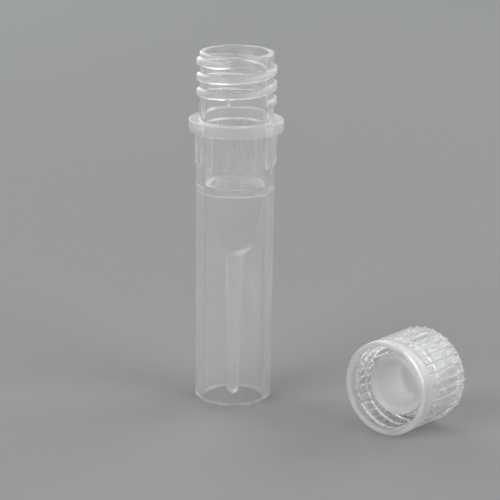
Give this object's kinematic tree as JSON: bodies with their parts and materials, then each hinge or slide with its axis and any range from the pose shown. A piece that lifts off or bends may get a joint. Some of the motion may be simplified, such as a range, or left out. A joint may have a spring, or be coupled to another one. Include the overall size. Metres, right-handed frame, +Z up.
{
  "type": "cryovial",
  "caption": "Half-millilitre self-standing cryovial: a skirted tube with a threaded neck, collar and conical well, and its knurled screw cap lying beside it.",
  "frame": {"origin": "centre of the tube's standing rim, on the surface that the tube stands on", "axes": "+Z up along the tube's axis; +X towards the cap lying beside the tube; the cap's mouth faces -Y"},
  "size_m": [0.0372, 0.015, 0.0464],
  "materials": {
    "tube_plastic": "translucent natural polypropylene, satin outside, clear neck",
    "cap_plastic": "translucent natural polypropylene, glossy knurls, milky plug"
  },
  "bodies": {
    "tube": {"vial_tube": "tube_plastic"},
    "cap": {"screw_cap": "cap_plastic"}
  },
  "joints": [
    {"name": "cap_lift", "type": "slide", "parent": "tube", "child": "cap", "axis": [0, 0, 1], "range_m": [0, 0.05]}
  ]
}
